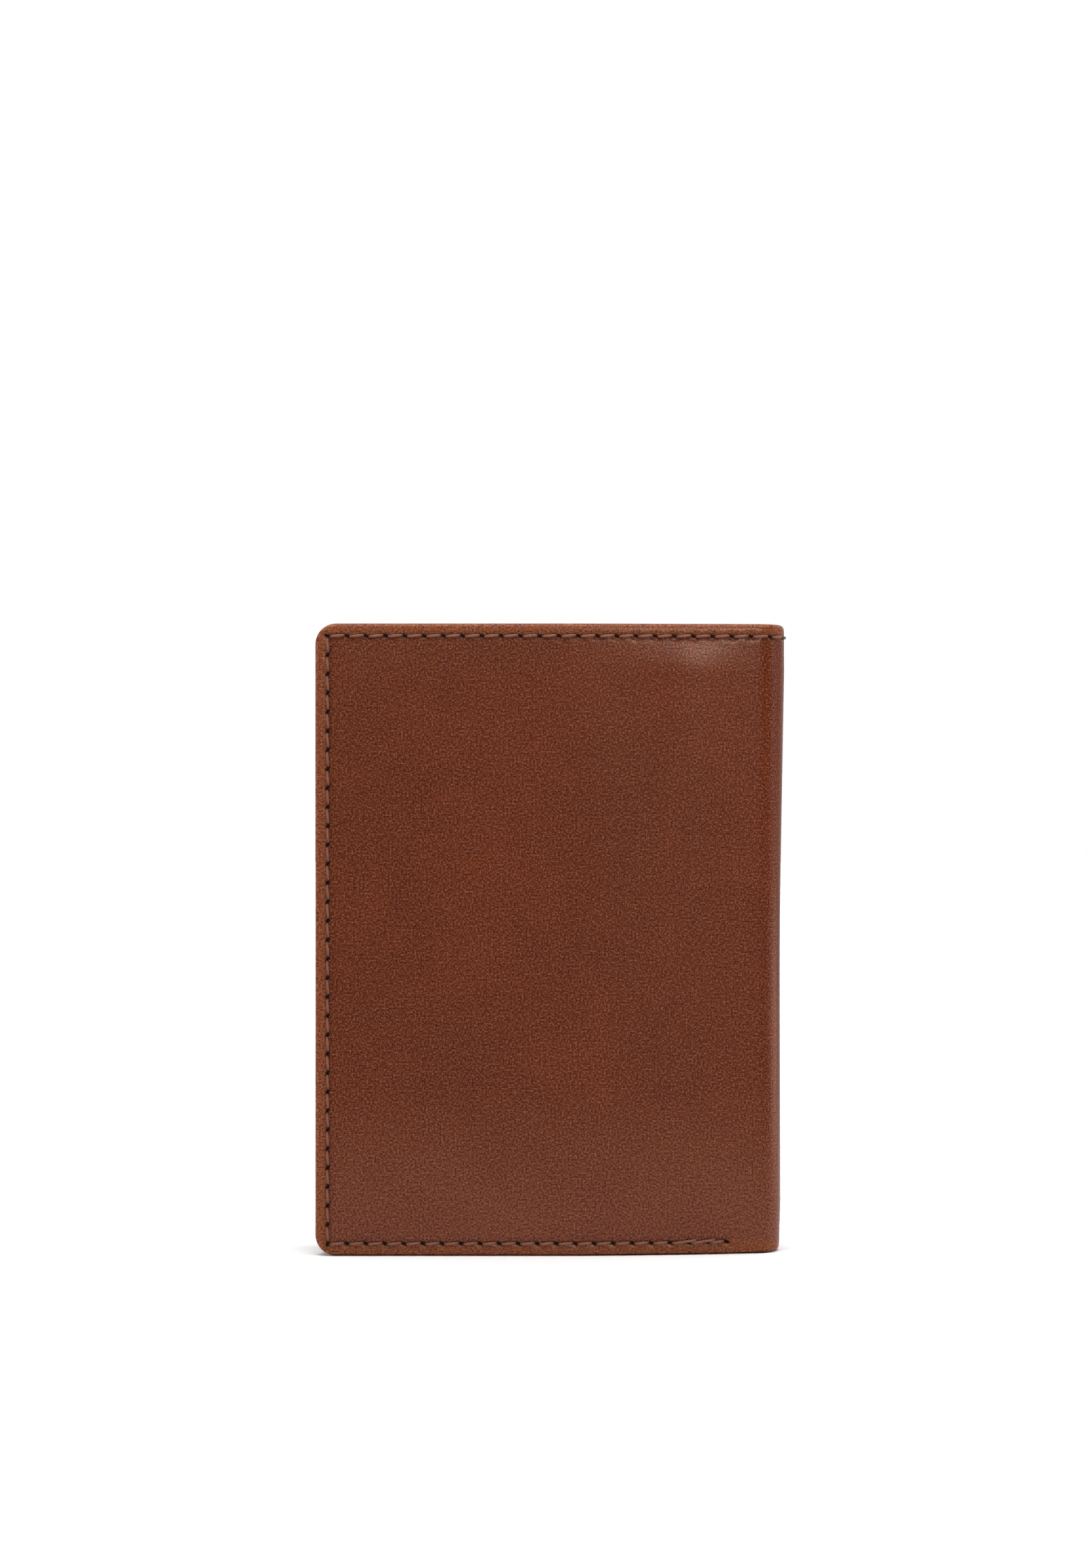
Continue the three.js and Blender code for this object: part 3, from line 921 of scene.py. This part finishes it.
PANEL_END = 91.5 * MM
SETBACK = 0.4 * MM
DIVIDER_TOP = HEIGHT - 2.3 * MM
SLEEVE_END = 64 * MM
INNER_TOP_SEAM = DIVIDER_TOP - 1.8 * MM
CARD_TOPS = [101 * MM, 86 * MM, 71 * MM]
THUMB_NOTCH = (5 * MM, 11 * MM)
FINE_COLUMNS = {"back": (PLAN["slope_start"], 3 * MM), "front": None}


def inner_panel(end, top, top_left=2.6 * MM, right=1.0 * MM, notch=None):
    return panel(
        SETBACK, end, SETBACK, top, CORNER_RADIUS - SETBACK, right, top_left=top_left, notch=notch
    )


def inner_piece(name, node, side, shape, depths, material, rounding, legs=()):
    """A layer whose good face looks into the holder."""
    outer, inner = depths
    piece = sheet_piece(
        name,
        side,
        shape,
        slab_rings(inner, outer, rounding),
        material,
        legs=legs,
        fine=FINE_COLUMNS[side],
        inked=0.6 if material is INNER else 0.0,
    )
    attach(piece, half_body(side))
    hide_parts(node)
    return piece


def inner_stitches(name, node, side, legs, depth, doubled=()):
    thread = stitch_piece(name, side, legs, depth, -1, THREAD, doubled=doubled)
    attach(thread, half_body(side))
    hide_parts(node)


def make_board(side):
    shape = panel(2 * MM, PANEL_END, 2 * MM, HEIGHT - 2 * MM, CORNER_RADIUS - 2 * MM)
    inner_piece(f"board_{side}_piece", f"board_{side}", side, shape, BOARD_DEPTH, BOARD, 0.2 * MM)


def make_lining(side):
    """Lining cloth from the open edge to the middle of the spine, where the halves' linings meet."""
    inset = 2 * MM
    shape = panel(inset, HALF_LENGTH[side], inset, HEIGHT - inset, CORNER_RADIUS - inset, cut=True)
    fine_from = PLAN["slope_end"] - 3 * MM if side == "back" else HALF_LENGTH[side] - 13 * MM
    outer, inner = LINING_DEPTH
    rings = slab_rings(inner, outer, 0.08 * MM)
    piece = sheet_piece(
        f"lining_cloth_{side}", side, shape, rings, LINING, fine=(fine_from, 0.9 * MM)
    )
    bend(piece)
    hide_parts(f"lining_{side}", "spine_lining")


def make_divider_lining(side):
    shape = inner_panel(PANEL_END - 1 * MM, DIVIDER_TOP - 1 * MM)
    cloth = inner_piece(
        f"divider_cloth_{side}",
        f"divider_lining_{side}",
        side,
        shape,
        DIVIDER_LINING_DEPTH,
        LINING,
        0.08 * MM,
    )


def side_leg(top):
    return leg((STITCH_INSET, STITCH_INSET), (STITCH_INSET, top), -HOLE_SLANT)


def run_leg(start, end, z):
    return leg((start, z), (end, z), -HOLE_SLANT)


def make_back_inside():
    bottom_end = STITCH_INSET + BOTTOM_SEAM_LENGTH
    divider_run = [run_leg(SLEEVE_END + 1.6 * MM, bottom_end, STITCH_INSET)]
    inner_piece(
        "divider_panel_back",
        "divider_back",
        "back",
        inner_panel(PANEL_END, DIVIDER_TOP),
        DIVIDER_DEPTH,
        INNER,
        0.25 * MM,
        legs=divider_run,
    )
    inner_stitches(
        "divider_stitches_back", "bobbin_thread_back", "back", divider_run, DIVIDER_DEPTH[1]
    )
    sleeve = inner_panel(SLEEVE_END, DIVIDER_TOP, notch=THUMB_NOTCH)
    cloth_shape = inner_panel(SLEEVE_END - 0.3 * MM, DIVIDER_TOP - 0.3 * MM, notch=THUMB_NOTCH)
    cloth = inner_piece(
        "sleeve_cloth",
        "sleeve_lining",
        "back",
        cloth_shape,
        SLEEVE_LINING_DEPTH,
        LINING,
        0.08 * MM,
    )
    legs = [
        side_leg(INNER_TOP_SEAM),
        run_leg(STITCH_INSET, SLEEVE_END - 2.2 * MM, STITCH_INSET),
        run_leg(STITCH_INSET, SLEEVE_END - 2.2 * MM, INNER_TOP_SEAM),
    ]
    inner_piece(
        "sleeve_panel",
        "passport_sleeve",
        "back",
        sleeve,
        SLEEVE_DEPTH,
        INNER,
        0.42 * MM,
        legs=legs,
    )
    inner_stitches("sleeve_stitches", "sleeve_thread", "back", legs, SLEEVE_DEPTH[1])


def make_front_inside():
    hem = [run_leg(STITCH_INSET, PANEL_END - 1.8 * MM, INNER_TOP_SEAM)]
    inner_piece(
        "divider_panel_front",
        "divider_front",
        "front",
        inner_panel(PANEL_END, DIVIDER_TOP),
        DIVIDER_DEPTH,
        INNER,
        0.25 * MM,
        legs=hem,
    )
    inner_stitches("hem_stitches", "divider_hem_thread", "front", hem, DIVIDER_DEPTH[1])
    cloth_shape = inner_panel(PANEL_END - 1 * MM, CARD_TOPS[0] - 2 * MM, top_left=1 * MM)
    cloth = inner_piece(
        "card_cloth",
        "card_backing",
        "front",
        cloth_shape,
        CARD_BACKING_DEPTH,
        LINING,
        0.06 * MM,
    )
    last = len(CARD_TOPS) - 1
    top = CARD_TOPS[last] - 2.2 * MM
    legs = [
        side_leg(top),
        run_leg(STITCH_INSET, PANEL_END - 1.8 * MM, STITCH_INSET),
        leg(
            (PANEL_END - 1.8 * MM, STITCH_INSET),
            (PANEL_END - 1.8 * MM, top),
            -HOLE_SLANT,
        ),
    ]
    for index, slot_top in enumerate(CARD_TOPS):
        inner_piece(
            f"card_pocket_{index + 1}",
            f"card_slot_{index + 1}",
            "front",
            inner_panel(PANEL_END, slot_top, top_left=0.8 * MM),
            CARD_SLOT_DEPTHS[index],
            INNER,
            0.19 * MM,
            legs=legs if index == last else (),
        )
    inner_stitches("card_stitches", "card_panel_thread", "front", legs, CARD_SLOT_DEPTHS[last][1])


def make_spine_board():
    """A strip of board inside the spine, between the two folds."""
    reach = PLAN["radius"] * 0.7
    shape = panel(MIDDLE - reach, MIDDLE + reach, 2 * MM, HEIGHT - 2 * MM, 0.3 * MM, 0.3 * MM)
    outer, inner = BOARD_DEPTH
    piece = sheet_piece(
        "spine_board_piece",
        "back",
        shape,
        slab_rings(inner, outer, 0.2 * MM),
        BOARD,
        spacing=(0.9 * MM, 5 * MM),
    )
    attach(piece, "spine")
    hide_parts("spine_board")


for side in ("back", "front"):
    make_board(side)
    make_lining(side)
    make_divider_lining(side)
make_back_inside()
make_front_inside()
make_spine_board()


# Stage -----------------------------------------------------------------------------------------

CAMERA_DISTANCE = 0.600
CAMERA_HEIGHT = 0.1007
VIEW_HEIGHT = 0.3342  # what the frame's height spans at the back cover
SENSOR = 36.0
FRONT_GLOW = 0.05
BACK_GLOW = 0.9


def make_floor():
    """A pale floor that fades into the white backdrop away from the object."""
    m = Shader("floor_white")
    flat = m.node("ShaderNodeTexCoord").outputs["Object"]
    tone = m.noise(flat, 6, detail=2)
    m.link(m.mix(tone, (0.93, 0.93, 0.93, 1), (0.96, 0.96, 0.96, 1)), "Base Color")
    m.set("Roughness", 0.7)
    reach = m.node("ShaderNodeVectorMath", {0: flat}, operation="LENGTH").outputs["Value"]
    seen = m.node("ShaderNodeLightPath").outputs["Is Camera Ray"]
    m.set("Emission Color", (1, 1, 1, 1))
    m.link(m.math("MULTIPLY", m.remap(reach, 0.15, 0.7), seen), "Emission Strength")
    half = 3.0
    mesh = bpy.data.meshes.new("floor")
    corners = [(-half, -half, 0), (half, -half, 0), (half, half, 0), (-half, half, 0)]
    mesh.from_pydata(corners, [], [(0, 1, 2, 3)])
    mesh.materials.append(m.material)
    floor = bpy.data.objects.new("floor", mesh)
    bpy.context.scene.collection.objects.link(floor)


def make_world():
    """White behind and beside the object, dark on the viewer's side, plain white as a backdrop."""
    world = bpy.data.worlds.new("studio")
    bpy.context.scene.world = world
    world.use_nodes = True
    tree = world.node_tree
    nodes, links = tree.nodes, tree.links
    direction = nodes.new("ShaderNodeTexCoord")
    split = nodes.new("ShaderNodeSeparateXYZ")
    links.new(direction.outputs["Generated"], split.inputs["Vector"])
    ramp = nodes.new("ShaderNodeMapRange")
    ramp.interpolation_type = "SMOOTHSTEP"
    for name, value in (
        ("From Min", -0.65),
        ("From Max", 0.3),
        ("To Min", FRONT_GLOW),
        ("To Max", BACK_GLOW),
    ):
        ramp.inputs[name].default_value = value
    links.new(split.outputs["Y"], ramp.inputs["Value"])
    seen = nodes.new("ShaderNodeLightPath")
    lift = nodes.new("ShaderNodeMath")
    lift.operation = "MAXIMUM"
    links.new(ramp.outputs["Result"], lift.inputs[0])
    links.new(seen.outputs["Is Camera Ray"], lift.inputs[1])
    background = nodes["Background"]
    background.inputs["Color"].default_value = (1, 1, 1, 1)
    links.new(lift.outputs["Value"], background.inputs["Strength"])


def area_light(name, location, target, size, power, glint=False):
    """A soft light. A glint shows only as a warm reflection."""
    data = bpy.data.lights.new(name, "AREA")
    if glint:
        data.color = (1.0, 0.76, 0.62)
    data.shape = "RECTANGLE"
    data.size, data.size_y = size
    data.energy = power
    light = bpy.data.objects.new(name, data)
    light.visible_diffuse = not glint
    bpy.context.scene.collection.objects.link(light)
    light.location = location
    direction = Vector(target) - Vector(location)
    light.rotation_mode = "QUATERNION"
    light.rotation_quaternion = direction.to_track_quat("-Z", "Y")


def make_camera():
    data = bpy.data.cameras.new("camera")
    data.sensor_width = SENSOR
    data.lens = SENSOR * CAMERA_DISTANCE / VIEW_HEIGHT
    camera = bpy.data.objects.new("camera", data)
    bpy.context.scene.collection.objects.link(camera)
    camera.location = (-0.0011, cad_low.y - CAMERA_DISTANCE, CAMERA_HEIGHT)
    camera.rotation_euler = (math.pi / 2, 0, 0)
    bpy.context.scene.camera = camera


make_floor()
make_world()
make_camera()
area_light("top_light", (0.0, -0.12, 0.55), (0, -0.12, 0), (0.45, 0.35), 3.3)
area_light("left_light", (-1.4, -0.25, 0.45), (0, 0, 0.07), (0.5, 0.8), 5)
area_light("right_light", (1.4, -0.25, 0.45), (0, 0, 0.07), (0.5, 0.8), 4)
area_light("sheen_right", (0.30, -1.0, 0.46), (0.03, 0, 0.12), (0.08, 0.12), 8, glint=True)
area_light("sheen_right_low", (0.30, -1.0, 0.16), (0.03, 0, 0.1), (0.05, 0.2), 0.4, glint=True)
area_light("sheen_left", (-0.26, -1.0, 0.36), (-0.04, 0, 0.12), (0.08, 0.1), 1.8, glint=True)
area_light("spine_glow", (0.24, 0.02, 0.03), (0.05, 0, 0.03), (0.12, 0.06), 0.14, glint=True)

bpy.context.scene.view_settings.view_transform = "Standard"
